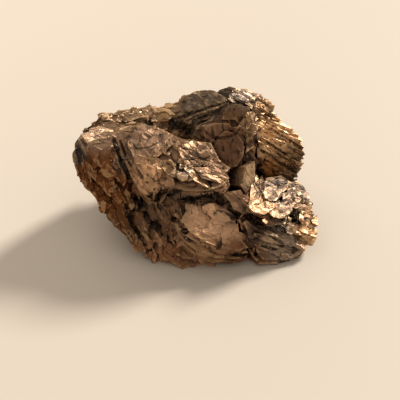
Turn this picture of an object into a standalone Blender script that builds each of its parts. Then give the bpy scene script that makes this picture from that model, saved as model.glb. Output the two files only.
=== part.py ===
"""Rough bronzite: one broken lump of bronze-brown pyroxene, about 88 mm long, lying on a flat break.

The lump is a single solid. It is made of a few large grains that run into one another. A grain is
convex and splits into parallel cleavage sheets, and every sheet broke off along its own ragged
edge, which is what leaves the ledges. On the grains lie packets of thinner sheets: the domed top,
the plates at the front and the steep facets of the crown. Sizes are in millimetres here and become
metres in one place, to_object.
"""

import math
import random
from collections import namedtuple

import bmesh
import bpy
from mathutils import Matrix, Vector
from mathutils.bvhtree import BVHTree

MM = 0.001

# Driving dimensions, in millimetres
OVERLAP = 0.17  # how far each sheet reaches into the one below it
WEAR = 0.55  # how far the broken edge of a grain's sheet wanders in and out
PACKET_WEAR = 0.44  # the same for the thinner sheets of a packet
RUN = 4.6  # length of one straight run of a broken edge
SHORTEST_SIDE = 0.6  # a side of an outline that is shorter than this is left out
UNDERCUT = 0.3  # how far the underside of a sheet broke off elsewhere than its top
TOP_SLIVER = 0.3  # a grain's last sheet is at least this thick
CRUMB_DROP = 15  # crumbs are let down onto the stone from this far above their patch

# Shares and counts
WARP = 1.5  # the most that a sheet leans out of its packet, in degrees
LAST_SHEET = 3  # the lowest sheet of a packet is this many sheets thick, to reach into its grain
BLADE_TURN = 0.14  # how far a blade turns out of its row, from 0 to 1
CRUMB_CORNERS = 12  # the points whose hull is one crumb
CRUMB_SUNK = 0.35  # the share of a crumb's depth that lies under the surface
TRIANGLES = 9000  # how many triangles the whole lump may have
BRONZE_BROWN = (0.147, 0.078, 0.042, 1)  # linear red, green, blue
SEED = 29

# One grain: the corners (x, y, z) of its hull, +X the long way and -Y the front; the dip of its
# cleavage from level, the compass bearing the cleavage faces (0 along +X, 90 along +Y), the
# thickness of one sheet, and how unevenly the sheets broke off.
Grain = namedtuple("Grain", "name corners dip facing sheet ragged")

GRAINS = [
    Grain("shoulder", [
        (-44, 2, 26), (-43.5, 8, 27), (-38, 12, 31), (-29, 19, 34), (-14, 21, 34.5), (-37, -2, 32),
        (-28, -4, 33.5), (-22, -2, 33.5), (-19, 5, 34.5), (-40, -8, 20), (-34, -12.5, 15),
        (-26.5, -20, 8), (-19, -27, 2), (-38, 11, 17), (-28, 23, 14), (-12, 25, 14), (-18, -6, 1),
        (-14, 10, 1),
    ], 38, -88, 2.9, 0.9),
    Grain("belly", [
        (-20, 4, 31), (-9, 3, 31), (2, 0, 29), (8, -4, 27), (12, -12, 21), (7, -17, 18),
        (-4, -18, 19), (-13, -18, 20), (-20, -9, 27), (-17, -26.5, 1), (-10, -29.5, -1), (-4, -30.5, -1),
        (5, -28, 0), (-3, -24, 12), (9, -25, 7), (18, -25, 0), (-10, 20, 0), (14, 16, 0),
    ], 33, -78, 2.6, 0.8),
    Grain("saddle", [
        (-19, 19, 34), (-9, 21, 35), (-2, 22, 36), (-18, 11, 33), (-8, 12, 33), (-2, 14, 33),
        (-12, 26, 20), (1, 26, 20), (-14, 6, 25), (2, 8, 25),
    ], 30, -110, 2.4, 0.8),
    Grain("crown", [
        (-9, 19, 33), (-4, 23, 37.5), (2, 24.5, 39.5), (8, 24.5, 40.5), (14, 24.5, 41),
        (20, 24, 39.5), (25, 22, 37.5), (29, 18, 34), (20, 9, 31), (15, 8, 31), (5, 9, 31),
        (4, 3, 27), (14, 1, 20), (19, 0, 20), (25, 2, 17), (31, 10, 16), (30, 22, 14),
        (10, 29.5, 12), (-10, 26, 12), (-6, 14, 30),
    ], 52, -84, 3.2, 0.6),
    Grain("right_wing", [
        (20, -5, 17), (26, -3, 16), (35, 0, 13), (39, 3, 12), (42, 0, 10), (43.5, -7, 9),
        (45, -15, 7), (41, -22, 4), (38, -25, 1.5), (34, -25.5, -1), (16, -26, -1), (18, -18, 15),
        (26, -21, 11), (20, -25.5, 4), (36, 9, 7), (30, 19, 6), (12, 10, 0), (32, 4, 0),
        (24, 16, 0),
    ], 28, -30, 1.9, 0.8),
    Grain("fibrous_block", [
        (21, 22, 37), (26, 20, 36), (33, 14, 31), (38, 9, 26), (40.5, 5, 21), (39, 4, 16),
        (23, 6, 27), (23, 8, 18), (32, 3, 15), (35, 14, 14), (27, 24, 16), (19, 22, 18),
    ], 31, 18, 1.35, 0.9),
]

# The heart of the lump holds the grains together. It shows only underneath, where the level break
# across it is the face that the lump rests on.
HEART = [
    (-18, -21, -2), (-8, -28, -2), (5, -27, -2), (30, -25, -2), (33, -18, -2), (32, 4, -2), (22, 18, -2),
    (0, 22, -2), (-18, 14, -1), (-22, -4, 0), (-18, 15, 14), (20, 19, 14), (29, 0, 12),
    (-19, -10, 14), (12, 14, 26), (-8, 12, 26),
]

# A packet of thin sheets. at is a point on its top face; the outline is drawn on that face as
# (right, up the dip), seen from outside. Each deeper sheet is shifted by slide and is wider by
# grow, so that its edge shows as a ledge under the one above.
Packet = namedtuple("Packet", "name at dip facing outline sheets sheet grow slide")

PACKETS = [
    Packet("dome", (-7, -8, 29.4), 23, -78, [
        (-14, 14), (-9, 15), (0, 13), (10, 7), (15, 2), (18, -8), (16, -11), (12, -12), (6, -12),
        (1, -11), (-4, -11), (-8, -9), (-11, -4), (-13, 2), (-14.5, 9),
    ], 3, 1.3, 0.9, (-0.6, -0.4)),
    Packet("dome_left", (-14.5, 0, 34), 19, -97, [
        (-7, 5), (-1, 6), (5, 4), (7, -1), (3, -7), (-3, -8), (-7, -3),
    ], 1, 1.4, 1.2, (0.3, -0.8)),
    Packet("dome_lower_left", (-13.6, -12.4, 28.6), 37, -104, [
        (-8, 5), (0, 6), (5, 3), (8, -3), (6, -7), (1, -6), (-4, -3), (-8, 1),
    ], 2, 1.1, 0.7, (-0.5, -0.5)),
    Packet("dome_right", (4, -6, 30.2), 25, -60, [
        (-7, 7), (-1, 8), (5, 5), (8, -1), (7, -7), (2, -9), (-4, -7), (-8, 0),
    ], 1, 1.4, 1.2, (0.3, -0.8)),
    Packet("dome_flake", (-5.5, -12, 29.7), 30, -74, [
        (-5, 2), (0, 3), (5, 1), (4, -2), (-1, -3), (-4, -1),
    ], 1, 0.9, 1.2, (0.3, -0.8)),
    Packet("platform", (31, -10, 13.8), 29, -22, [
        (-12, 9), (-6, 11), (0, 12), (5, 9), (11, 1), (15, -2), (13, -6), (8, -10), (0, -8),
        (-9, -5), (-12, -2), (-13, 4),
    ], 3, 1.3, 0.7, (-0.8, -0.3)),
    Packet("platform_front", (24.5, -16, 18), 27, -30, [
        (-6, 3), (-1, 5), (4, 2), (8, -1), (6, -4), (0, -4), (-5, -2),
    ], 2, 0.8, 0.5, (-0.3, -0.5)),
    Packet("platform_back", (30, -6, 17.4), 20, -48, [
        (-5, 3), (0, 5), (5, 3), (6, -1), (2, -4), (-4, -3),
    ], 2, 0.9, 0.6, (0.4, -0.4)),
    Packet("apron", (8.5, -22.6, 13.6), 36, -66, [
        (-12, 5), (-8, 9), (-3, 11), (3, 9), (5, 2), (6, -4), (7, -8), (8, -11), (4, -11), (-2, -8),
        (-7, -4), (-11, 1),
    ], 4, 1.15, 0.55, (-0.7, -0.6)),
    Packet("crown_left", (2, 18, 37.2), 38, -125, [
        (-11, -7), (-7, 0), (-3, 4), (3, 6), (8, 6), (9, 4), (8, 1), (3, -3), (-1, -7), (-6, -9),
    ], 2, 2.0, 0.8, (0.5, -0.8)),
    Packet("crown_top", (20, 18, 38), 25, -50, [
        (-2, 7), (3, 5), (6, 1), (7, -2), (6, -6), (1, -7), (-3, -8), (-1, -4), (-1, -1), (-3, 3),
        (-6, 4),
    ], 2, 1.8, 0.6, (0.2, -0.5)),
    Packet("crown_front", (16, 12.6, 35.4), 46, -86, [
        (-4, 3), (-2, 5), (0, 5), (4, 3), (5, 0), (4, -2), (1, -3), (-1, -1), (-6, -1),
    ], 2, 1.8, 0.6, (0, -0.6)),
    Packet("brow", (9.5, 5.4, 33), 58, -74, [
        (-5, 3), (-1, 4), (4, 3), (6, -1), (3, -3), (0, -2), (-4, -3), (-6, 0),
    ], 1, 2.6, 0.4, (0, -0.3)),
    Packet("dark_facet", (13.4, 3.6, 28), 64, -80, [
        (-9, 5), (-2, 6), (4, 7), (6, 3), (5, -1), (6, -4), (4, -8), (0, -8), (-2, -5), (-3, -1),
        (-6, 1), (-9, 3),
    ], 2, 2.4, 0.5, (0, -0.5)),
    Packet("dark_edge", (18.6, 4.6, 31.6), 55, -50, [
        (-3, 5), (1, 4), (3, 0), (2, -4), (-2, -5), (-3, 0),
    ], 1, 2.2, 0.5, (0, -0.5)),
    Packet("prism", (20, -6, 22), 59, -48, [
        (0, 4), (5, 4), (4, 1), (-1, -6), (-4, -5), (-5, -1), (-3, 1),
    ], 1, 5.0, 0, (0, 0)),
    Packet("ridge", (15, -15, 21), 38, -83, [
        (-5, 1), (2, 2), (4, -2), (3, -5), (1, -6), (-2, -3),
    ], 2, 2.2, 0.7, (-0.6, -0.4)),
    Packet("dark_block", (21, -22.6, 12), 60, -80, [
        (-4, 3), (0, 4), (3, 3), (4, 0), (2, -5), (-1, -4), (-4, 0),
    ], 1, 4.0, 0, (0, 0)),
    Packet("lower_right", (30, -22.8, 6.4), 42, -67, [
        (-9, 7), (-3, 7), (5, 3), (9, 0), (9, -5), (6, -7), (0, -7), (-8, -5), (-10, 1),
    ], 2, 1.5, 0.7, (-0.5, -0.5)),
    Packet("cap", (-33, 3, 33), 12, -30, [
        (-4, 6), (4, 4), (6, -1), (2, -5), (-2, -4), (-5, -4), (-6, 1),
    ], 2, 1.8, 1.2, (-0.4, -0.6)),
    Packet("wall_upper", (-35.5, -4, 25.5), 62, -132, [
        (-6, 4), (0, 6), (5, 3), (6, -3), (2, -6), (-4, -3),
    ], 2, 1.6, 0.9, (-0.4, -0.4)),
    Packet("wall_lower", (-27.5, -15, 15), 64, -120, [
        (-6, 5), (-1, 8), (4, 3), (7, -4), (5, -8), (0, -6), (-5, -1),
    ], 2, 1.6, 0.9, (-0.4, -0.4)),
]

# A row of blades, thin splinters that stand side by side: where the first and the last one begin
# and end, how many there are, the width and depth of one, and the face that they show.
Blades = namedtuple("Blades", "name first last count width depth dip facing")

BLADES = [
    Blades("left_blades", ((-28, 0, 33), (-25.5, -11, 17)), ((-23.5, -4, 31.5), (-19.5, -15, 19)),
           4, 2.7, 5, 58, -112),
    Blades("upper_row", ((-23, -13, 19), (-19, -25, 5)), ((-7, -22, 18), (-2, -28, 8)),
           7, 3.4, 5, 60, -116),
    Blades("lower_row", ((-21.5, -21, 11), (-17, -27.5, 1)), ((0, -26, 10), (6, -29.5, 0)),
           7, 3.8, 5, 66, -104),
    Blades("under_dome", ((-13, -17.5, 23), (-9, -23, 15)), ((6, -17, 22), (7, -22, 15)),
           7, 2.4, 4, 50, -92),
    Blades("wing_splinters", ((19, -3, 20.5), (26, -9, 17.5)), ((24, -1, 20), (32, -8, 16)),
           4, 1.8, 3, 32, -40),
    Blades("wing_fibres", ((22, -22, 14), (38, -21, 8)), ((19, -25.5, 8.5), (33, -27, 2.5)),
           5, 2.2, 4, 48, -66),
]

# A patch of broken crumbs on a face: its middle, dip and facing, half its size along and up the
# face, how many crumbs there are and how large the largest is.
Crumbs = namedtuple("Crumbs", "name at dip facing half count size")

CRUMBS = [
    Crumbs("rim", (-26, 15, 32), 12, -80, (12, 4), 10, 3.6),
    Crumbs("dome_middle", (-5, -7.5, 29.6), 25, -78, (7, 4.5), 7, 3.0),
    Crumbs("crown_edge", (24.5, 17.5, 34.6), 40, -25, (3, 6), 7, 3.6),
    Crumbs("wall", (-32, -7, 21), 66, -122, (10, 8), 10, 4.6),
    Crumbs("boulders", (39, -15.5, 7.5), 34, -45, (2.5, 4.5), 5, 5.4),
    Crumbs("back", (8, 25, 18), 74, 88, (26, 10), 12, 6.5),
    Crumbs("back_left", (-34, 13, 20), 70, 140, (9, 8), 6, 6.0),
]

# Wedges broken out of the lump: the pocket behind the dome and the gap beside the prism. The last
# one takes off everything under the level break.
CLEFTS = [
    [(-12, 7, 37), (1, 3, 35.5), (0, 8, 36), (-11, 10.5, 37), (-9, 8, 27), (-2, 6, 27), (-4, 11, 29)],
    [(22, 0, 33), (24, 0, 33), (22, -5, 20), (24.6, -5, 20), (22.6, 8, 22), (24, 8, 33)],
    [(x, y, z) for x in (-60, 60) for y in (-60, 60) for z in (-30, 0)],
]


def face_matrix(at, dip, facing):
    """The place of a face: X along its strike, Y up its dip, Z out of it."""
    turn = Matrix.Rotation(math.radians(facing + 90), 4, "Z")
    lean = Matrix.Rotation(math.radians(dip), 4, "X")
    return Matrix.Translation(Vector(at)) @ turn @ lean


def to_object(name, points, faces):
    """A mesh object made from points in millimetres, with its faces turned outwards."""
    mesh = bpy.data.meshes.new(name)
    mesh.from_pydata([Vector(p) * MM for p in points], [], faces)
    shape = bmesh.new()
    shape.from_mesh(mesh)
    bmesh.ops.recalc_face_normals(shape, faces=shape.faces)
    shape.to_mesh(mesh)
    shape.free()
    obj = bpy.data.objects.new(name, mesh)
    bpy.context.scene.collection.objects.link(obj)
    return obj


def hull_mesh(corners):
    """The convex hull of the corners, as a bmesh in millimetres."""
    shape = bmesh.new()
    verts = [shape.verts.new(c) for c in corners]
    result = bmesh.ops.convex_hull(shape, input=verts)
    inside = result["geom_interior"] + result["geom_unused"]
    spare = list({part for part in inside if isinstance(part, bmesh.types.BMVert)})
    bmesh.ops.delete(shape, geom=spare, context="VERTS")
    return shape


def section(shape, place, level):
    """The outline, in the place's own plane, where a convex shape is cut at a level along its Z."""
    normal = place.to_3x3() @ Vector((0, 0, 1))
    origin = place @ Vector((0, 0, level))
    points = []
    for edge in shape.edges:
        start, end = (vert.co for vert in edge.verts)
        over, under = (start - origin).dot(normal), (end - origin).dot(normal)
        if over * under < 0:
            crossing = start.lerp(end, over / (over - under))
            points.append((place.inverted() @ crossing).to_2d())
    if len(points) < 3:
        return []
    middle = sum(points, Vector((0, 0))) / len(points)
    return sorted(points, key=lambda p: math.atan2(p.y - middle.y, p.x - middle.x))


def broken_edge(outline, wear, rng):
    """The outline with its long sides broken into short runs that wander in and out."""
    points = []
    for i, corner in enumerate(outline):
        start, end = Vector(corner), Vector(outline[(i + 1) % len(outline)])
        side = end - start
        if side.length < SHORTEST_SIDE:
            continue
        runs = max(1, round(side.length / (RUN * rng.uniform(0.7, 1.4))))
        outward = Vector((side.y, -side.x)).normalized()
        for k in range(runs):
            along = (k + rng.uniform(0, 0.5) * (k > 0)) / runs
            points.append(start.lerp(end, along) + outward * rng.uniform(-wear, wear))
    return points


def grown(outline, grow):
    """The outline moved outwards from its middle by grow."""
    middle = sum((Vector(p) for p in outline), Vector((0, 0))) / len(outline)
    return [Vector(p) + (Vector(p) - middle).normalized() * grow for p in outline]


def sheet(name, place, outline, top, thickness, rng):
    """One plate: its outline at the top, and a slightly different break at its underside."""
    count = len(outline)
    points = [place @ Vector((x, y, top)) for x, y in outline]
    for x, y in outline:
        aside = (rng.uniform(-UNDERCUT, UNDERCUT), rng.uniform(-UNDERCUT, UNDERCUT))
        points.append(place @ Vector((x + aside[0], y + aside[1], top - thickness)))
    faces = [tuple(range(count)), tuple(range(2 * count - 1, count - 1, -1))]
    faces += [(i, (i + 1) % count, count + (i + 1) % count, count + i) for i in range(count)]
    return to_object(name, points, faces)


def cleave(grain, rng):
    """A grain as its stack of cleavage sheets, each broken off a little further in or out."""
    shape = hull_mesh(grain.corners)
    place = face_matrix((0, 0, 0), grain.dip, grain.facing)
    heights = [(place.inverted() @ vert.co).z for vert in shape.verts]
    level, top = min(heights), max(heights) - TOP_SLIVER
    sheets = []
    while level < top:
        thickness = grain.sheet * rng.uniform(0.7, 1.35)
        outline = section(shape, place, min(level + thickness / 2, top))
        if len(outline) >= 3:
            outline = grown(outline, rng.uniform(-grain.ragged, 0.6 * grain.ragged))
            outline = broken_edge(outline, WEAR, rng)
            face = level + thickness
            sheets.append(sheet(grain.name, place, outline, face, thickness + OVERLAP, rng))
        level += thickness
    shape.free()
    return sheets


def lay_packet(packet, rng):
    """The sheets of a packet, from its top face down."""
    place = face_matrix(packet.at, packet.dip, packet.facing)
    sheets = []
    for k in range(packet.sheets):
        slide = Vector(packet.slide) * k
        outline = [p + slide for p in grown(packet.outline, packet.grow * k)]
        outline = broken_edge(outline, PACKET_WEAR, rng)
        count = LAST_SHEET if k == packet.sheets - 1 else 1
        thickness = packet.sheet * count + OVERLAP
        tilt = Matrix.Rotation(math.radians(rng.uniform(-WARP, WARP)), 4, "X")
        sheets.append(sheet(packet.name, place @ tilt, outline, -k * packet.sheet, thickness, rng))
    return sheets


def plain_hull(name, corners):
    """A closed convex solid."""
    shape = hull_mesh(corners)
    shape.verts.index_update()
    points = [vert.co.copy() for vert in shape.verts]
    faces = [[vert.index for vert in face.verts] for face in shape.faces]
    shape.free()
    return to_object(name, points, faces)


def random_way(rng, corner):
    """A vector with each of its numbers drawn between -corner and corner."""
    return Vector([rng.uniform(-corner, corner) for _ in range(3)])


def blade_outline(width, length, rng):
    """A blade is widest in the middle and ends in a point; its top is at the origin."""
    half = width / 2 * rng.uniform(0.7, 1.3)
    return [
        (-half * 0.4, 0),
        (-half, -length * rng.uniform(0.15, 0.4)),
        (-half * 0.9, -length * rng.uniform(0.6, 0.85)),
        (rng.uniform(-half, half), -length),
        (half * 0.8, -length * rng.uniform(0.7, 0.9)),
        (half, -length * rng.uniform(0.1, 0.5)),
        (half * 0.3, 0),
    ]


def stand_blades(blades, rng):
    """The blades of a row, each a pointed plate that runs from its top to its end."""
    normal = face_matrix((0, 0, 0), blades.dip, blades.facing).to_3x3() @ Vector((0, 0, 1))
    pieces = []
    for k in range(blades.count):
        share = k / (blades.count - 1)
        top = Vector(blades.first[0]).lerp(Vector(blades.last[0]), share)
        end = Vector(blades.first[1]).lerp(Vector(blades.last[1]), share)
        top += random_way(rng, 1)
        length = (end - top).length * rng.uniform(0.75, 1.1)
        face = normal.lerp(random_way(rng, 1).normalized(), BLADE_TURN)
        up = (top - end).normalized()
        face = (face - up * face.dot(up)).normalized()
        place = Matrix.Translation(top) @ Matrix((up.cross(face), up, face)).transposed().to_4x4()
        outline = blade_outline(blades.width, length, rng)
        pieces.append(sheet(blades.name, place, outline, 0, blades.depth, rng))
    return pieces


def scatter_crumbs(crumbs, stone, rng):
    """The crumbs of a patch: each is the hull of a few points, and sits partly sunk in the stone."""
    place = face_matrix(crumbs.at, crumbs.dip, crumbs.facing)
    outwards = place.to_3x3() @ Vector((0, 0, 1))
    points = [vert.co.copy() for vert in stone.data.vertices]
    surface = BVHTree.FromPolygons(points, [tuple(face.vertices) for face in stone.data.polygons])
    pieces = []
    for _ in range(crumbs.count):
        right, up = (rng.uniform(-1, 1) * half for half in crumbs.half)
        size = crumbs.size * rng.uniform(0.55, 1)
        reach = (size, size * rng.uniform(0.6, 1), size * rng.uniform(0.4, 0.7))
        turn = Matrix.Rotation(rng.uniform(0, math.pi), 3, "Z")
        turn = turn @ Matrix.Rotation(rng.uniform(-0.5, 0.5), 3, "X")
        ways = [random_way(rng, 1).normalized() for _ in range(CRUMB_CORNERS)]
        ground = surface.ray_cast((place @ Vector((right, up, CRUMB_DROP))) * MM, -outwards)[0]
        if ground is None:
            continue
        middle = ground / MM - outwards * reach[2] * CRUMB_SUNK
        face = place.to_3x3() @ turn
        corners = [middle + face @ Vector(w * r for w, r in zip(way, reach)) for way in ways]
        pieces.append(plain_hull(crumbs.name, corners))
    return pieces


def combine(base, pieces, operation):
    """The base joined with, or cut by, all the pieces at once.

    The exact solver leaves a few edges with three faces here, where some two hundred sheets meet;
    the manifold one keeps the solid closed.
    """
    group = bpy.data.collections.new("pieces")
    bpy.context.scene.collection.children.link(group)
    for piece in pieces:
        bpy.context.scene.collection.objects.unlink(piece)
        group.objects.link(piece)
    modifier = base.modifiers.new(operation.lower(), "BOOLEAN")
    modifier.operation = operation
    modifier.operand_type = "COLLECTION"
    modifier.collection = group
    modifier.solver = "MANIFOLD"
    depsgraph = bpy.context.evaluated_depsgraph_get()
    mesh = bpy.data.meshes.new_from_object(base.evaluated_get(depsgraph))
    base.modifiers.clear()
    base.data = mesh
    for piece in pieces:
        bpy.data.objects.remove(piece)
    bpy.data.collections.remove(group)


def keep_outside(obj):
    """Only the largest closed shell is kept: hollows between the grains are filled in."""
    shape = bmesh.new()
    shape.from_mesh(obj.data)
    unseen = set(shape.faces)
    shells = []
    while unseen:
        shell = []
        front = [unseen.pop()]
        while front:
            face = front.pop()
            shell.append(face)
            beside = {other for edge in face.edges for other in edge.link_faces} & unseen
            unseen -= beside
            front.extend(beside)
        shells.append(shell)
    shells.sort(key=lambda shell: sum(face.calc_area() for face in shell))
    spare = [face for shell in shells[:-1] for face in shell]
    bmesh.ops.delete(shape, geom=spare, context="FACES")
    shape.to_mesh(obj.data)
    shape.free()
    print("hollows and loose crumbs left out:", len(shells) - 1)


def lighten(obj):
    """The smallest facets are merged, down to the wanted number of triangles."""
    shape = bmesh.new()
    shape.from_mesh(obj.data)
    bmesh.ops.triangulate(shape, faces=shape.faces)
    count = len(shape.faces)
    shape.to_mesh(obj.data)
    shape.free()
    decimate = obj.modifiers.new("lighten", "DECIMATE")
    decimate.ratio = min(1, TRIANGLES / count)


def centre(obj):
    """The middle of the lump's box comes over the origin, and its foot is at Z = 0."""
    depsgraph = bpy.context.evaluated_depsgraph_get()
    mesh = bpy.data.meshes.new_from_object(obj.evaluated_get(depsgraph))
    low = Vector(min(vert.co[axis] for vert in mesh.vertices) for axis in range(3))
    high = Vector(max(vert.co[axis] for vert in mesh.vertices) for axis in range(3))
    shift = Vector((-(low.x + high.x) / 2, -(low.y + high.y) / 2, -low.z))
    mesh.transform(Matrix.Translation(shift))
    obj.modifiers.clear()
    obj.data = mesh
    print("length, width, height in mm:", [round(side / MM, 1) for side in high - low])
    print("moved in mm:", [round(step / MM, 2) for step in shift], "triangles:", len(mesh.polygons))


def bronzite():
    """Bronze-brown pyroxene: a half-metallic sheen on brown cleavage faces."""
    material = bpy.data.materials.new("bronzite")
    material.use_nodes = True
    shader = material.node_tree.nodes["Principled BSDF"]
    shader.inputs["Base Color"].default_value = BRONZE_BROWN
    shader.inputs["Roughness"].default_value = 0.42
    shader.inputs["Metallic"].default_value = 0.35
    material.diffuse_color = BRONZE_BROWN
    return material


def main():
    for obj in list(bpy.data.objects):
        bpy.data.objects.remove(obj)
    rng = random.Random(SEED)
    pieces = []
    for grain in GRAINS:
        pieces += cleave(grain, rng)
    for packet in PACKETS:
        pieces += lay_packet(packet, rng)
    for blades in BLADES:
        pieces += stand_blades(blades, rng)
    stone = plain_hull("bronzite_lump", HEART)
    combine(stone, pieces, "UNION")
    crumbs = [crumb for patch in CRUMBS for crumb in scatter_crumbs(patch, stone, rng)]
    combine(stone, crumbs, "UNION")
    combine(stone, [plain_hull("cleft", corners) for corners in CLEFTS], "DIFFERENCE")
    keep_outside(stone)
    lighten(stone)
    centre(stone)
    stone.data.name = stone.name
    stone.data.materials.append(bronzite())


main()
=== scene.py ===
# %% [markdown]
# # A lump of rough bronzite
#
# Bronzite is a brown pyroxene that splits into thin, slightly bent sheets with a bronze sheen.
# This lump was broken out of its rock, so nothing on it is polished: sheets end in ragged steps,
# the ends of the sheets show as splinters, and crumbs cling where the stone was crushed. The
# construction model already holds the large forms. This script gives them their fine breaks and
# their finish.

# %% Tools and frame
import math
import random
from collections import namedtuple

import bpy
import numpy as np
from mathutils import Matrix, Vector, noise
from mathutils.bvhtree import BVHTree


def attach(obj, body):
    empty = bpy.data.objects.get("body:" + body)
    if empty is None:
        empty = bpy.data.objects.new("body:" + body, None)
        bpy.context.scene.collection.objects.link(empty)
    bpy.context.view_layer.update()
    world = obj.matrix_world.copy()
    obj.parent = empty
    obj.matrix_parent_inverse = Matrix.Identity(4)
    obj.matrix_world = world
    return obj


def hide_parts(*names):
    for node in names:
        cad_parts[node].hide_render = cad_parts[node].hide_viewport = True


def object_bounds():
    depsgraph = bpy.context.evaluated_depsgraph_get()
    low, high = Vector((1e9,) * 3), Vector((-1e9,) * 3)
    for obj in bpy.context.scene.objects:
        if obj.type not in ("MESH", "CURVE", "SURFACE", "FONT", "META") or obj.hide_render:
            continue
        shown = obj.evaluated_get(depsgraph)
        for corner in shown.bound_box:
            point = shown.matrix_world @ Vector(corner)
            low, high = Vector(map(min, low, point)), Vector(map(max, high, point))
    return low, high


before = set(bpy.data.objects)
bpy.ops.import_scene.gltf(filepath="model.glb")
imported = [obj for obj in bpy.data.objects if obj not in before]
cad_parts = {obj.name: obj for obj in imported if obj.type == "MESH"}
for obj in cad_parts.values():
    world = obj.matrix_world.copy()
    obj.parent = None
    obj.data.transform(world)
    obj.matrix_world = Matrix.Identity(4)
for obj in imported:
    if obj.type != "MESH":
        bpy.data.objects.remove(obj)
cad_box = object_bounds()
MM = 0.001  # one millimetre, in the metres that Blender counts in
NODE = "bronzite_lump"
print("construction box in mm:", [[round(v / MM, 1) for v in corner] for corner in cad_box])

# %% [markdown]
# ## Small helpers
#
# Colours are written as they look on a screen, so one function turns them into the linear values
# that light is reckoned with. Every operator acts on what is selected, so one function selects an
# object alone. A face of the stone is given as a geologist notes it, by the dip of its cleavage
# from level and the bearing that the cleavage faces.

# %% Helpers
def linear(hex_colour):
    """A screen colour such as #8a6248 as linear red, green, blue and alpha."""
    parts = [int(hex_colour[i:i + 2], 16) / 255 for i in (1, 3, 5)]
    light = [p / 12.92 if p <= 0.04045 else ((p + 0.055) / 1.055) ** 2.4 for p in parts]
    return light + [1.0]


def take_alone(obj):
    """Selects this object and nothing else."""
    bpy.ops.object.select_all(action="DESELECT")
    obj.select_set(True)
    bpy.context.view_layer.objects.active = obj


def lie(dip, facing):
    """How a cleavage face lies: X along its strike, Y up its dip, Z out of it."""
    turn = Matrix.Rotation(math.radians(facing + 90), 3, "Z")
    return turn @ Matrix.Rotation(math.radians(dip), 3, "X")


def apply_modifier(obj, kind, **settings):
    """Adds one modifier with its settings and applies it."""
    take_alone(obj)
    modifier = obj.modifiers.new(kind.lower(), kind)
    for name, value in settings.items():
        setattr(modifier, name, value)
    bpy.ops.object.modifier_apply(modifier=modifier.name)


print("the strike of a face that looks north:", [round(c) for c in lie(45, 90).col[0]])

# %% [markdown]
# ## Camera, floor and light
#
# The stone is looked down on at forty degrees from its front. The floor is plain and pale. One
# broad sun stands low at the right, a little behind the stone, so it rakes over the steps and
# leaves their fronts dark. A soft box behind lights the floor where the stone's shadow falls, and
# a weak even sky fills the rest.

# %% Camera
LOOK_AT = Vector((1.73, 7.12, 0)) * MM
LOOK_DOWN = math.radians(40)
DISTANCE = 320 * MM
LENS, SENSOR = 74.4, 36  # focal length and width of the sensor, in mm
NEAREST = 0.01  # metres: what is nearer to the camera than this isn't drawn

bpy.ops.object.select_all(action="DESELECT")
away = Vector((0, -math.cos(LOOK_DOWN), math.sin(LOOK_DOWN))) * DISTANCE
bpy.ops.object.camera_add(location=LOOK_AT + away, rotation=(math.pi / 2 - LOOK_DOWN, 0, 0))
camera = bpy.context.object
camera.data.lens = LENS
camera.data.sensor_width = SENSOR
camera.data.clip_start = NEAREST
bpy.context.scene.camera = camera
print("camera stands at mm", [round(v / MM) for v in camera.location])

# %% Floor and lights
FLOOR_SIZE = 4.0  # metres
bpy.ops.mesh.primitive_plane_add(size=FLOOR_SIZE, location=(0, 0, 0))
floor = bpy.context.object
floor.name = "floor"
paint = bpy.data.materials.new("pale_matt_board")
paint.use_nodes = True
matt = paint.node_tree.nodes["Principled BSDF"]
matt.inputs["Base Color"].default_value = linear("#c6c0b6")
matt.inputs["Roughness"].default_value = 0.7
floor.data.materials.append(paint)

TO_SUN = Vector((0.59, 0.64, 0.49)).normalized()  # right, back and up
bpy.ops.object.light_add(type="SUN", rotation=TO_SUN.to_track_quat("Z", "Y").to_euler())
sun = bpy.context.object
sun.data.energy = 5.2
sun.data.angle = math.radians(12)
sun.data.color = linear("#fff3e6")[:3]

SOFT_BOX_AT = Vector((-0.45, 0.6, 0.55))  # metres
bpy.ops.object.light_add(type="AREA", location=SOFT_BOX_AT,
                         rotation=SOFT_BOX_AT.to_track_quat("Z", "Y").to_euler())
soft_box = bpy.context.object
soft_box.data.size = 0.7
soft_box.data.energy = 3.4
soft_box.data.color = linear("#ffecd8")[:3]

sky = bpy.data.worlds.new("even_sky")
sky.use_nodes = True
glow = sky.node_tree.nodes["Background"]
glow.inputs["Color"].default_value = linear("#fff0e0")
glow.inputs["Strength"].default_value = 0.5
bpy.context.scene.world = sky
bpy.context.scene.view_settings.view_transform = "Standard"
print("floor", FLOOR_SIZE, "m wide; the sun stands",
      round(math.degrees(math.asin(TO_SUN.z))), "degrees high")

# %% [markdown]
# ## The map of the stone
#
# A stone that broke by cleavage isn't one texture all over. Each patch is a packet of sheets with
# its own tilt, its own stain and its own kind of break: some faces came off smooth, others are
# scaly or crushed. The patches are written down once here, and everything after this asks the
# map.

# %% Patches
# at is the middle of the patch and reach how far it goes, in mm; dip and facing are its cleavage,
# and run the way its fibres point on that face, from its strike, all in degrees; rough is how
# strongly it is stepped; scraps and crumbs are how many of each it carries, and size how large its
# scraps are, where 1 is the common size.
Patch = namedtuple("Patch", "name at reach dip facing run stain rough scraps crumbs size")

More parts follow.
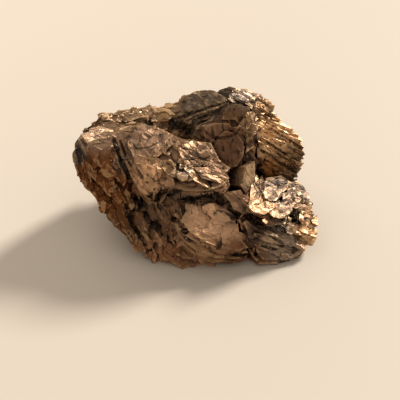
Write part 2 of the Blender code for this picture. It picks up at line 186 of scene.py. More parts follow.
PATCHES = [
    Patch("dome", (-7.6, -8.2, 29.4), 13, 23, -78, -50, "#7c6046", 0.45, 0.5, 0.1, 1.2),
    Patch("dome_left", (-15.1, -0.2, 34), 8, 19, -97, -55, "#846a54", 0.2, 0.1, 0, 1.0),
    Patch("dome_lower_left", (-14.2, -12.6, 28.6), 8, 37, -104, -45, "#bd946e", 0.5, 0.5, 0, 1.0),
    Patch("dome_right", (3.4, -6.2, 30.2), 8.5, 25, -60, -50, "#6e533c", 0.35, 0.15, 0, 1.0),
    Patch("dome_flake", (-4.6, -12.4, 29.8), 4, 24, -78, -40, "#cdb9a2", 0.05, 0.0, 0, 1.0),
    Patch("dome_middle", (-3.6, -6.5, 30.5), 6, 25, -78, -52, "#5e4c3a", 1.0, 1.0, 1.4, 0.6),
    Patch("platform", (29.4, -11.2, 14.5), 9.5, 27, -22, -20, "#6c5846", 0.35, 0.5, 0, 1.0),
    Patch("platform_front", (25, -18, 16.5), 5.5, 25, -26, -30, "#ac8562", 0.3, 0.4, 0, 1.0),
    Patch("wing_back", (37, -2, 14.5), 8, 28, -35, -40, "#544438", 0.6, 0.9, 0.2, 1.0),
    Patch("wing_inner", (29, -5, 18), 5, 12, -60, -40, "#4c3e34", 0.8, 0.6, 0.3, 0.8),
    Patch("boulders", (40, -15.5, 8), 8, 34, -45, -30, "#a8845f", 0.5, 0.4, 0.2, 1.0),
    Patch("apron", (8, -22, 13.5), 10, 36, -66, -35, "#c8a07e", 0.6, 1.0, 0, 1.1),
    Patch("apron_front", (6, -28, 6), 9, 40, -75, -28, "#94704f", 0.8, 1.2, 0.1, 1.3),
    Patch("front_band", (12, -27, 1), 14, 45, -80, -10, "#643e26", 0.6, 0.4, 0.2, 1.0),
    Patch("left_front", (-17, -20, 12), 11, 62, -112, -65, "#664a32", 1.0, 1.2, 0.2, 1.1),
    Patch("lower_left", (-14, -26, 4), 8, 64, -105, -70, "#8c6040", 0.8, 0.9, 0.1, 1.1),
    Patch("left_wall", (-32, -9, 20), 12, 62, -126, -70, "#6c3d14", 1.0, 0.2, 1.6, 0.5),
    Patch("wall_low", (-26, -17, 10), 9, 62, -122, -65, "#5c3712", 1.0, 0.2, 1.4, 0.5),
    Patch("left_corner", (-42.5, 1, 28), 5.5, 60, -170, -80, "#34312e", 0.5, 0.2, 0.1, 1.0),
    Patch("cap", (-34, 3, 33), 6.5, 12, -30, -30, "#9c826c", 0.6, 0.3, 0.8, 0.8),
    Patch("rim", (-25, 14.5, 33), 9.5, 15, -80, -10, "#a2876a", 1.0, 0.6, 1.2, 0.7),
    Patch("saddle", (-9, 20, 36), 7, 20, -100, -20, "#a88a66", 1.0, 0.6, 1.2, 0.7),
    Patch("left_blades", (-25, -5, 26), 6, 58, -112, -78, "#4e443a", 0.6, 0.5, 0.1, 1.0),
    Patch("crown_left", (0, 18, 37), 9, 38, -125, -5, "#64574b", 0.7, 0.5, 0.2, 1.0),
    Patch("crown_top", (17, 19.5, 40), 8, 25, -50, -60, "#6c5f52", 0.7, 0.4, 0.8, 0.8),
    Patch("crown_edge", (26, 17, 36), 6, 40, -25, -60, "#7e5f40", 1.0, 0.6, 1.0, 0.7),
    Patch("crown_front", (15.5, 12.4, 35.5), 5, 46, -86, -80, "#725438", 0.6, 0.4, 0, 1.0),
    Patch("brow", (8, 5.6, 33.6), 4.5, 58, -74, -85, "#7a5a42", 0.15, 0.1, 0, 1.0),
    Patch("dark_facet", (11.8, 2.4, 28), 7.5, 64, -80, -80, "#6a4c36", 0.12, 0.1, 0, 1.0),
    Patch("facet_side", (20, 6.0, 28), 4.5, 60, -50, -80, "#6e5238", 1.0, 1.6, 0.8, 0.9),
    Patch("prism", (19.5, -6.2, 22), 4.5, 59, -48, -75, "#a88c6c", 0.12, 0, 0, 1.0),
    Patch("ridge", (14.5, -15.2, 21), 5, 38, -83, -40, "#84644c", 0.2, 0.1, 0, 1.0),
    Patch("dark_block", (20.4, -22.8, 12), 4, 60, -80, -60, "#4f3d30", 0.12, 0, 0, 1.0),
    Patch("striped_front", (30, -24, 7.5), 8, 50, -66, -28, "#857260", 0.8, 0.9, 0, 1.0),
    Patch("fibrous_block", (31, 13, 28), 9.5, 31, 18, -90, "#e0b88c", 0.8, 0.7, 0.1, 1.0),
    Patch("block_front", (35, 5, 22), 7, 60, -60, -32, "#775a3c", 0.8, 0.5, 0.1, 1.0),
    Patch("block_under", (29, 4, 17), 5, 80, -80, -30, "#8e5c2e", 0.3, 0.2, 0, 1.0),
    Patch("back", (5, 27, 20), 18, 74, 88, -60, "#5f4630", 1.0, 0.6, 0.6, 1.3),
    Patch("back_left", (-33, 15, 18), 14, 70, 140, -60, "#5c4530", 1.0, 0.6, 0.6, 1.3),
    Patch("back_right", (34, 15, 12), 13, 60, 30, -60, "#5e4834", 1.0, 0.6, 0.5, 1.3),
    Patch("foot", (5, -3, -4), 22, 5, 0, 0, "#4a3a2c", 0.4, 0.1, 0, 1.0),
]
LIE = [lie(p.dip, p.facing) for p in PATCHES]
BLUR = 0.16  # how softly one patch gives way to the next: 0 is a hard line
RAGGED = 1.6 * MM  # how far the line between two patches wanders
BEND = 5 * MM  # and how long its bends are
noise.seed_set(3)  # without a seed of its own the noise would differ from run to run


def wander(points):
    """The points moved a little, so that no patch ends on a smooth line."""
    moved = [noise.noise_vector(Vector(p) / BEND) for p in points]
    return points + np.array(moved) * RAGGED


def shares(points):
    """How much each patch counts at each point: one row a point, one column a patch."""
    middles = np.array([p.at for p in PATCHES]) * MM
    reach = np.array([p.reach for p in PATCHES]) * MM
    far = np.linalg.norm(wander(points)[:, None, :] - middles[None], axis=2) / reach
    weight = np.exp(-(far - far.min(axis=1, keepdims=True)) / BLUR)
    return weight / weight.sum(axis=1, keepdims=True)


print(len(PATCHES), "patches on the map")

# %% [markdown]
# ## The body of the stone
#
# The body starts as a copy of the construction solid. It could be painted with bump alone, but a
# cleaved stone shows its steps against the light and in its outline, so the steps are real. A
# remesh that keeps corners sharp gives an even skin, fine enough for small steps, and leaves the
# ledges crisp.

# %% Copy
SAME_POINT = 1e-7  # metres: corners that are this near to one another are made one
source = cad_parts[NODE]
body = bpy.data.objects.new("bronzite_body", source.data.copy())
bpy.context.scene.collection.objects.link(body)
body.data.materials.clear()
take_alone(body)
bpy.ops.object.mode_set(mode="EDIT")
bpy.ops.mesh.select_all(action="SELECT")
bpy.ops.mesh.remove_doubles(threshold=SAME_POINT)
bpy.ops.object.mode_set(mode="OBJECT")
print("copy of", len(body.data.vertices), "points")

# %% [markdown]
# Some forms are too particular for the construction solid. The swelling of the fibrous block and
# a few other bulges and dips are pulled out of the copy or pushed into it. The chunk that carries
# that block, the boulder and the bright plates on the wing, and the flakes that cover the dome
# and the crown are slabs. Each is modelled from a cylinder and broken at random, and the remesh
# fuses it with the stone.

# %% Pulls and slabs
# Places, reaches, moves and sizes are in mm. A slab lies as a patch does, and at is the middle of
# its top face.
Pull = namedtuple("Pull", "at reach move")
PULLS = [
    Pull((37, 10, 25), 12, (1.6, 0.8, 1.3)),
    Pull((-24, 13, 34), 8, (0, -0.6, -0.8)),
    Pull((18.4, 4.0, 31.2), 5, (-0.4, 2.2, -1.6)),
    Pull((41, -7, 9), 7, (1.2, 0.2, 0.8)),
    Pull((9.6, -4.0, 29.8), 6.5, (-2.0, -1.6, -1.8)),
]
Slab = namedtuple("Slab", "name at dip facing run long wide thick")
SLABS = [
    Slab("under_block", (30.4, 4.6, 16.2), 66, -72, -25, 17, 9, 5),
    Slab("boulder", (37.6, -17.0, 8.8), 40, -60, 10, 9, 7, 5),
    Slab("bright_plate", (23.4, -17.6, 18.6), 22, -20, -35, 12, 7, 0.9),
    Slab("bright_plate", (30.2, -16.6, 15.6), 25, -24, -30, 11, 6, 1.0),
    Slab("bright_plate", (27.6, -11.0, 18.6), 20, -16, -20, 10, 6, 1.0),
    Slab("bright_plate", (35.0, -8.6, 14.8), 30, -30, -20, 10, 7, 1.2),
    Slab("wing_flake", (38.6, -0.4, 14.0), 34, -44, -42, 8, 2.4, 1.2),
    Slab("dark_cover", (12.0, 1.5, 28.4), 59, -88, 8, 12, 13.5, 3.5),
    Slab("crown_cover", (19.6, 8.4, 33.6), 50, -66, -60, 7, 6, 2.4),
    Slab("crown_step", (21.8, 11.4, 34.6), 46, -52, -60, 8, 5, 2.0),
    Slab("dome_skirt", (3.2, -11.6, 28.1), 28, -58, 30, 10, 15, 2.2),
    Slab("dome_flake", (-4.4, -12.3, 29.9), 22, -78, 84, 9, 5, 1.0),
    Slab("dome_lip", (-12.4, -15.2, 26.9), 36, -100, 70, 11, 4, 0.9),
    Slab("dome_lip", (-14.6, -12.6, 29.4), 32, -104, 64, 9, 4, 0.9),
]
SLAB_SIDES = 9
SLAB_BREAK = 0.09  # how far a slab's corners are moved, as a share of its width


def pull(obj, at, reach, move):
    """Pulls the stone about one place, and what is within reach of it less and less."""
    middle = Vector(at) * MM
    nearest = min(obj.data.vertices, key=lambda v: (v.co - middle).length)
    for part in (obj.data.polygons, obj.data.edges, obj.data.vertices):
        part.foreach_set("select", [False] * len(part))
    nearest.select = True
    take_alone(obj)
    bpy.ops.object.mode_set(mode="EDIT")
    bpy.ops.mesh.select_mode(type="VERT")
    bpy.ops.transform.translate(value=Vector(move) * MM, use_proportional_edit=True,
                                proportional_edit_falloff="SMOOTH",
                                proportional_size=reach * MM)
    bpy.ops.object.mode_set(mode="OBJECT")


def add_slab(slab, seed):
    """One slab with its top face at its place, broken a little at random."""
    bpy.ops.object.select_all(action="DESELECT")
    turn = lie(slab.dip, slab.facing) @ Matrix.Rotation(math.radians(slab.run), 3, "Z")
    middle = Vector(slab.at) * MM - turn @ Vector((0, 0, slab.thick / 2)) * MM
    bpy.ops.mesh.primitive_cylinder_add(vertices=SLAB_SIDES, radius=0.5, depth=1,
                                        location=middle, rotation=turn.to_euler())
    obj = bpy.context.object
    obj.scale = Vector((slab.long, slab.wide, slab.thick)) * MM
    bpy.ops.object.transform_apply()
    bpy.ops.object.mode_set(mode="EDIT")
    bpy.ops.transform.vertex_random(offset=SLAB_BREAK * slab.wide * MM, seed=seed)
    bpy.ops.object.mode_set(mode="OBJECT")
    return obj


for item in PULLS:
    pull(body, *item)
slabs = [add_slab(slab, seed) for seed, slab in enumerate(SLABS)]
take_alone(body)
for slab in slabs:
    slab.select_set(True)
bpy.ops.object.join()
print(len(PULLS), "pulls and", len(slabs), "slabs")

# %% Skin
SKIN_DEPTH = 8  # the box is halved this many times, which gives cells of about 0.35 mm
apply_modifier(body, "REMESH", mode="SHARP", octree_depth=SKIN_DEPTH, scale=0.99, sharpness=1.0)
print("skin of", len(body.data.vertices), "points")

# %% [markdown]
# ## Steps along the cleavage
#
# Cells of a Voronoi pattern, flattened like pancakes along the cleavage and drawn out along its
# fibres, give each scrap of sheet its own height. Where the surface follows the cleavage they
# read as plates, and where it cuts across they read as the ends of many sheets. Patches with a
# like tilt share one pattern.

# %% Vertex groups
# long, wide and thick are the size of a pattern's cells and height how far they step, in mm.
Break = namedtuple("Break", "name patches dip facing run long wide thick height")

BREAKS = [
    Break("dome", ["dome", "dome_left", "dome_lower_left", "dome_right", "dome_flake",
                   "dome_middle"], 26, -78, -50, 9, 3.6, 1.2, 0.9),
    Break("wing", ["platform", "platform_front", "wing_back", "wing_inner", "boulders"],
          28, -30, -25, 8, 3.6, 1.1, 1.2),
    Break("apron", ["apron", "apron_front", "front_band", "ridge", "striped_front", "dark_block"],
          38, -70, -30, 10, 3.2, 0.9, 1.3),
    Break("wall", ["left_front", "lower_left", "left_corner", "left_blades"],
          63, -116, -68, 9, 3.4, 1.6, 1.8),
    Break("far_wall", ["left_wall", "wall_low"], 62, -126, -70, 4.5, 2.2, 1.2, 1.1),
    Break("top", ["cap", "rim", "saddle", "crown_left", "crown_top", "crown_edge"],
          26, -80, -15, 6, 3.0, 1.2, 1.3),
    Break("crown", ["crown_front", "brow", "dark_facet", "facet_side", "prism"],
          60, -76, -80, 9, 4.0, 1.2, 0.6),
    Break("block", ["fibrous_block", "block_front", "block_under"],
          31, 18, -90, 16, 1.3, 0.9, 1.5),
    Break("back", ["back", "back_left", "back_right", "foot"], 70, 95, -60, 9, 5.0, 1.6, 1.8),
]


def read(obj, what):
    """A vector that each point of a mesh object has, one row each."""
    flat = np.empty(len(obj.data.vertices) * 3)
    obj.data.vertices.foreach_get(what, flat)
    return flat.reshape(-1, 3)


def corners(obj):
    """The places of a mesh object's points."""
    return read(obj, "co")


LEVELS = 20  # a vertex group takes one weight at a time, so the weights are rounded to this many
body_share = shares(corners(body))
rough = np.array([p.rough for p in PATCHES])
for part in BREAKS:
    columns = [i for i, p in enumerate(PATCHES) if p.name in part.patches]
    weight = (body_share[:, columns] * rough[columns]).sum(axis=1)
    group = body.vertex_groups.new(name=part.name)
    level = np.round(weight * LEVELS).astype(int)
    for step in range(1, LEVELS + 1):
        group.add(np.flatnonzero(level == step).tolist(), step / LEVELS, "REPLACE")
print("patches marked on the skin")

# %% Steps
PATTERN_START = Vector((1, 2, 3)) * MM  # any place will do, as long as it stays
MID_LEVEL = 0.52  # the height that stays where it is: cells above it stand out, the others sink
GRIT_SIZE, GRIT_HEIGHT = 1.6, 0.16  # mm
for part in BREAKS:
    pattern = bpy.data.textures.new(part.name, "VORONOI")
    pattern.color_mode = "POSITION"
    pattern.noise_scale = 1.0
    guide = bpy.data.objects.new("guide", None)
    bpy.context.scene.collection.objects.link(guide)
    turn = lie(part.dip, part.facing) @ Matrix.Rotation(math.radians(part.run), 3, "Z")
    scale = Vector((part.long, part.wide, part.thick)) * MM
    guide.matrix_world = Matrix.LocRotScale(PATTERN_START, turn, scale)
    bpy.context.view_layer.update()
    apply_modifier(body, "DISPLACE", texture=pattern, texture_coords="OBJECT",
                   texture_coords_object=guide, vertex_group=part.name, mid_level=MID_LEVEL,
                   strength=part.height * MM)
    bpy.data.objects.remove(guide)

grit = bpy.data.textures.new("grit", "CLOUDS")
grit.noise_scale = GRIT_SIZE * MM
grit.noise_depth = 2
apply_modifier(body, "DISPLACE", texture=grit, texture_coords="LOCAL", mid_level=0.5,
               strength=GRIT_HEIGHT * MM)
print("steps of", len(BREAKS), "breaks cut, and grit", GRIT_HEIGHT, "mm high over all")

# %% [markdown]
# ## Cracks
#
# The deep cracks tell where one grain ends and the next begins, so they can't be left to chance.
# Each is drawn in the camera's frame, as a line of points that the eye can check, and cast from
# the camera onto the stone. There it is cut into the skin, and remembered, so that it gets
# painted shade and no scrap lies across it.

# %% Cutting the cracks
FRAME_WIDTH = 400  # the camera's frame, in pixels
CAST_STEP = 0.7  # pixels from one point of a crack to the next: about a quarter of a millimetre
CUT_REACH = 4 * MM  # past this a crack moves nothing
Crack = namedtuple("Crack", "line width depth")  # the line in pixels, the others in mm
CRACKS = {
    "under_dome": Crack([(152, 196), (170, 193), (185, 198), (200, 199), (216, 197), (228, 205),
                         (238, 214)], 1.4, 3.0),
    "under_wing": Crack([(238, 214), (250, 217), (262, 223), (275, 229), (288, 229), (297, 222)],
                        1.1, 2.6),
    "beside_apron": Crack([(240, 216), (243, 226), (247, 236), (254, 246), (256, 255)], 0.45, 1.4),
    "beside_blades": Crack([(114, 140), (118, 152), (124, 166), (130, 180), (131, 190)], 0.6, 1.6),
    "blade_gap": Crack([(120, 141), (126, 156), (131, 167)], 0.35, 1.0),
    "behind_dome": Crack([(162, 124), (172, 123), (182, 125), (191, 130)], 1.5, 2.6),
    "rim_groove": Crack([(121, 123), (131, 119), (142, 120), (151, 124)], 0.7, 1.3),
    "beside_prism": Crack([(258, 161), (260, 170), (262, 178)], 1.0, 2.4),
    "crown_split": Crack([(168, 121), (183, 116), (198, 111), (212, 106), (226, 103)], 0.45, 1.1),
    "crown_split_low": Crack([(180, 123), (196, 117), (208, 112), (220, 110)], 0.35, 0.8),
    "front_gap": Crack([(134, 196), (141, 208), (150, 222), (160, 231), (168, 240)], 0.9, 2.0),
    "front_gap_high": Crack([(160, 206), (168, 216), (178, 222), (186, 232)], 0.8, 1.8),
    "front_gap_low": Crack([(126, 205), (131, 220), (139, 236), (150, 250)], 0.7, 1.6),
    "apron_lip": Crack([(186, 238), (200, 245), (216, 251), (236, 255), (249, 254)], 0.5, 1.2),
    "wing_pocket": Crack([(291, 214), (298, 215), (304, 219)], 1.2, 2.0),
    "striped_high": Crack([(262, 233), (272, 237), (284, 244)], 0.4, 1.0),
    "striped_low": Crack([(252, 241), (264, 246), (276, 250)], 0.4, 1.0),
    "block_low": Crack([(262, 150), (274, 159), (286, 167), (296, 173)], 0.5, 1.2),
    "block_high": Crack([(262, 139), (274, 147), (288, 155), (299, 161)], 0.35, 0.9),
    "block_stripe": Crack([(263, 144), (280, 155), (298, 167)], 0.3, 0.9),
    "block_stripe_top": Crack([(270, 129), (286, 138), (302, 149)], 0.35, 1.0),
    "facet_side": Crack([(244, 138), (245, 150), (244, 162)], 0.4, 1.2),
    "brow_edge": Crack([(204, 131), (214, 138), (226, 138), (236, 134), (241, 128)], 0.35, 0.8),
}


def seen_at(u, v):
    """The place on the stone that a pixel of the camera's frame shows, and the normal there."""
    focal = LENS / SENSOR * FRAME_WIDTH
    half = FRAME_WIDTH / 2
    way = camera.matrix_world.to_3x3() @ Vector((u - half, half - v, -focal))
    place, normal, _, _ = tree.ray_cast(camera.matrix_world.translation, way.normalized())
    return place, normal


def tree_of(obj):
    """A search tree over the faces of a mesh object."""
    faces = [tuple(p.vertices) for p in obj.data.polygons]
    return BVHTree.FromPolygons(corners(obj).tolist(), faces)


def cast_line(line):
    """The points where a line of pixels falls on the stone."""
    found = []
    for (u0, v0), (u1, v1) in zip(line, line[1:]):
        steps = max(2, round(math.hypot(u1 - u0, v1 - v0) / CAST_STEP))
        for k in range(steps):
            place, _ = seen_at(u0 + (u1 - u0) * k / steps, v0 + (v1 - v0) * k / steps)
            if place is not None:
                found.append(place)
    return found


bpy.context.view_layer.update()
tree = tree_of(body)
where = corners(body)
normal = read(body, "normal")
crack_points, crack_widths = [], []
for crack in CRACKS.values():
    line = np.array(cast_line(crack.line))
    first, last = line.min(axis=0) - CUT_REACH, line.max(axis=0) + CUT_REACH
    near = np.flatnonzero(((where > first) & (where < last)).all(axis=1))
    far = np.full(len(where), np.inf)
    far[near] = np.linalg.norm(where[near][:, None] - line[None], axis=2).min(axis=1)
    cut = crack.depth * MM * np.exp(-(far / (crack.width * MM)) ** 2)
    where -= normal * cut[:, None]
    crack_points += list(line)
    crack_widths += [crack.width * MM] * len(line)
crack_points, crack_widths = np.array(crack_points), np.array(crack_widths)
body.data.vertices.foreach_set("co", where.ravel())
body.data.update()
print(len(CRACKS), "cracks of", len(crack_points), "points cut")


SHADE_WIDTH, SHADE_REACH = 1.4, 3  # how wide a crack's shade is and where it ends, in widths


def crack_shade(points):
    """How deep in a crack each point lies: 1 in the middle of one, 0 well away from all."""
    shade = np.zeros(len(points))
    for place, width in zip(crack_points, crack_widths):
        near = np.flatnonzero((np.abs(points - place) < SHADE_REACH * width).all(axis=1))
        far = np.linalg.norm(points[near] - place, axis=1)
        shade[near] = np.maximum(shade[near], np.exp(-(far / (SHADE_WIDTH * width)) ** 2))
    return shade


# %% [markdown]
# ## Keeping the size
#
# The steps may not make the stone larger than it is, and its foot stays level, so points that
# moved past the construction box go back to it.

# %% Clamp and thin
BODY_TRIANGLES = 190000  # how many triangles the body is thinned to; a piece may have up to 200,000
low, high = (np.array(corner) for corner in cad_box)
body.data.vertices.foreach_set("co", np.clip(corners(body), low, high).ravel())
body.data.update()
body.data.calc_loop_triangles()
apply_modifier(body, "DECIMATE", ratio=min(1, BODY_TRIANGLES / len(body.data.loop_triangles)))
body.vertex_groups.clear()
tree = tree_of(body)
print("body of", sum(len(p.vertices) - 2 for p in body.data.polygons), "triangles")

# %% [markdown]
# ## Sheets, scales, splinters and crumbs
#
# Scraps of sheet still cling to the faces, splinters lie along the fibres, and crushed stone sits
# in the hollows. Each kind is modelled a few times, from a cylinder, a cube or a ball, and then
# laid on the stone many times. A scrap is modelled flat, with its fibres along X.

# %% Modelling the scraps
FLATTER = 0.4  # how much a sheet is flattened once its corners are broken
RIM = 0.13 * MM  # how much smaller each layer is than the one below it
LAYER = 0.09 * MM  # how thick a layer is
TOP_FACE, TOP_DEPTH = 0.8, 0.06 * MM  # how level a face is, and how near the top, to carry a layer
SOUND_REACH = 1.3 * MM  # past this a corner of a model is the tip of a spike


def points_of(obj):
    """The points and triangles of a modelled scrap, which is then removed."""
    obj.data.calc_loop_triangles()
    faces = [tuple(t.vertices) for t in obj.data.loop_triangles]
    found = corners(obj), np.array(faces)
    bpy.data.objects.remove(obj)
    return found


def sheet_scrap(sides, layers, seed, ragged=0.2):
    """A ragged scrap of sheet, 2 mm long, with smaller layers still lying on it."""
    bpy.ops.object.select_all(action="DESELECT")
    bpy.ops.mesh.primitive_cylinder_add(vertices=sides, radius=MM, depth=0.2 * MM)
    scrap = bpy.context.object
    bpy.ops.object.mode_set(mode="EDIT")
    bpy.ops.mesh.select_mode(type="FACE")
    bpy.ops.transform.vertex_random(offset=ragged * MM, seed=seed)
    bpy.ops.transform.resize(value=(1, 1, FLATTER))
    for layer in range(layers):
        bpy.ops.object.mode_set(mode="OBJECT")
        top = max(v.co.z for v in scrap.data.vertices)
        for face in scrap.data.polygons:
            face.select = face.normal.z > TOP_FACE and face.center.z > top - TOP_DEPTH
        bpy.ops.object.mode_set(mode="EDIT")
        bpy.ops.mesh.inset(thickness=RIM)
        aside = (0.12 * MM, (0.1 - 0.15 * layer) * MM, LAYER)  # no layer lies quite in the middle
        bpy.ops.mesh.extrude_region_move(TRANSFORM_OT_translate={"value": aside})
    bpy.ops.object.mode_set(mode="OBJECT")
    return points_of(scrap)


def splinter_scrap(seed):
    """A splinter 2 mm long, square and split at its ends."""
    bpy.ops.object.select_all(action="DESELECT")
    bpy.ops.mesh.primitive_cube_add(size=2 * MM)
    scrap = bpy.context.object
    bpy.ops.object.mode_set(mode="EDIT")
    bpy.ops.mesh.subdivide(number_cuts=1)
    bpy.ops.transform.vertex_random(offset=0.3 * MM, seed=seed)
    bpy.ops.object.mode_set(mode="OBJECT")
    return points_of(scrap)


def crumb_scrap(seed):
    """An angular crumb, 2 mm across."""
    bpy.ops.object.select_all(action="DESELECT")
    bpy.ops.mesh.primitive_ico_sphere_add(subdivisions=1, radius=MM)
    scrap = bpy.context.object
    bpy.ops.object.mode_set(mode="EDIT")
    bpy.ops.transform.vertex_random(offset=0.45 * MM, seed=seed)
    bpy.ops.object.mode_set(mode="OBJECT")
    return points_of(scrap)


def sound(models):
    """The models whose layers didn't run out into a spike when they were inset."""
    return [model for model in models if np.abs(model[0]).max() < SOUND_REACH]


PLATE_RAGGED = 0.28  # a plate has few corners, so each is broken more
SHEETS = sound([sheet_scrap(9 + i % 4, 2, i) for i in range(12)])
PLATES = sound([sheet_scrap(5 + i % 3, 0, 40 + i, PLATE_RAGGED) for i in range(16)])
SCALES = sound([sheet_scrap(5 + i % 3, 1, 20 + i) for i in range(12)])
SPLINTERS = [splinter_scrap(i) for i in range(6)]
CRUMBS = [crumb_scrap(i) for i in range(8)]
for name, models in (("sheet", SHEETS), ("plate", PLATES), ("scale", SCALES),
                     ("splinter", SPLINTERS), ("crumb", CRUMBS)):
    print(len(models), "models of a", name, "of", len(models[0][1]), "triangles")

# %% [markdown]
# To lay a scrap, a point is drawn on the body, and the map says how the cleavage lies there. The
# scrap lies along the cleavage, nearly level with it, and is pushed in until only its rim stands
# out, whichever way the surface runs. One that would stand far out in the air is left out.

# %% Laying the scraps
SEED = 11
random.seed(SEED)
np.random.seed(SEED)


def draw(obj, count):
    """Points drawn evenly over an object, with the normal of the face each is on."""
    mesh = obj.data
    mesh.calc_loop_triangles()
    area = np.array([t.area for t in mesh.loop_triangles])
    picked = np.random.choice(len(area), count, p=area / area.sum())
    where = corners(obj)
    spots, normals = [], []
    for i in picked:
        tri = mesh.loop_triangles[i]
        a, b, c = (where[v] for v in tri.vertices)
        u, v = random.random(), random.random()
        if u + v > 1:
            u, v = 1 - u, 1 - v
        spots.append(a + (b - a) * u + (c - a) * v)
        normals.append(np.array(tri.normal))
    return np.array(spots), np.array(normals)


def stands_out(points):
    """How far a scrap's points stand out of the body, at most."""
    most = 0.0
    for point in points:
        near, normal, _, far = tree.find_nearest(Vector(point))
        if (Vector(point) - near).dot(normal) > 0:
            most = max(most, far)
    return most


class Heap:
    """Scraps laid so far, as one mesh in the making."""

    def __init__(self, name):
        self.name = name
        self.points, self.faces, self.tone, self.patch, self.count = [], [], [], [], 0

    def lay(self, model, spot, normal, turn, size, proud, limit, patch):
        """Lays one scrap, pushed in until it stands out by proud, unless an end of it juts out."""
        points, faces = model
        placed = (points * size) @ np.array(turn).T
        placed += spot + normal * (proud - (placed @ normal).max())
        if stands_out(placed[::2]) > limit:
            return
        self.points.append(placed)
        self.faces.append(faces + self.count)
        self.tone += [random.random()] * len(placed)
        self.patch += [patch] * len(placed)
        self.count += len(placed)

    def finish(self):
        """The heap as a mesh object, kept inside the box of the stone."""
        mesh = bpy.data.meshes.new(self.name)
        inside = np.clip(np.concatenate(self.points), low, high)
        mesh.from_pydata(inside.tolist(), [], np.concatenate(self.faces).tolist())
        obj = bpy.data.objects.new(self.name, mesh)
        bpy.context.scene.collection.objects.link(obj)
        print(self.name, "has", len(mesh.polygons), "triangles")
        return obj


# count is how many places are tried. across is from how wide to how wide a scrap is made, and
# longer how many times as long as that; thick is how many times as thick as its model, and for a
# splinter it goes by the width too. lean is how far a scrap strays from the cleavage, in degrees,
# and spin from the fibres, in radians. proud is how far its top stands out of the skin and limit
# how far any corner of it may, in mm. The models are 2 mm long, so 1 across is 2 mm.
Kind = namedtuple("Kind", "models count across longer thick lean spin proud limit")
KINDS = {
    "sheet": Kind(SHEETS, 1500, (1.6, 3.0), (1.3, 2.4), (1.4, 2.6), 4, 0.25, (0.2, 0.6), 1.2),
    "scale": Kind(SCALES, 6000, (0.45, 1.1), (1.2, 2.6), (0.8, 2.0), 7, 0.35, (0.08, 0.35), 0.8),
    "splinter": Kind(SPLINTERS, 3400, (0.22, 0.5), (4, 8), (0.7, 1.2), 3, 0.06, (0.1, 0.35),
                     0.55),
}
CLEAR = 0.12  # a scrap needs a place where the shade of the cracks is below this
LOWEST = 0.6 * MM  # and one that is higher above the floor than this


def lay_kind(heap, kind, wanted):
    """Draws places for one kind of scrap and lays it there; wanted is each patch's share of it."""
    spots, normals = draw(body, kind.count)
    share = shares(spots)
    chance = (share * wanted).sum(axis=1) * (crack_shade(spots) < CLEAR)
    for spot, normal, row, luck in zip(spots, normals, share, chance):
        if random.random() > luck or spot[2] < LOWEST:
            continue
        i = int(row.argmax())
        across = random.uniform(*kind.across) * PATCHES[i].size
        size = np.array((across * random.uniform(*kind.longer), across,
                         random.uniform(*kind.thick)))
        if kind.models is SPLINTERS:
            size[2] *= across
        spin = Matrix.Rotation(math.radians(PATCHES[i].run) + random.gauss(0, kind.spin), 3, "Z")
        tilt = Matrix.Rotation(math.radians(random.gauss(0, kind.lean)), 3, "X")
        tip = Matrix.Rotation(math.radians(random.gauss(0, kind.lean)), 3, "Y")
        proud = random.uniform(*kind.proud) * MM
        heap.lay(random.choice(kind.models), spot, normal, LIE[i] @ tilt @ tip @ spin, size,
                 proud, kind.limit * MM, i)


print(len(KINDS), "kinds of scrap, to be tried at", sum(k.count for k in KINDS.values()), "places")
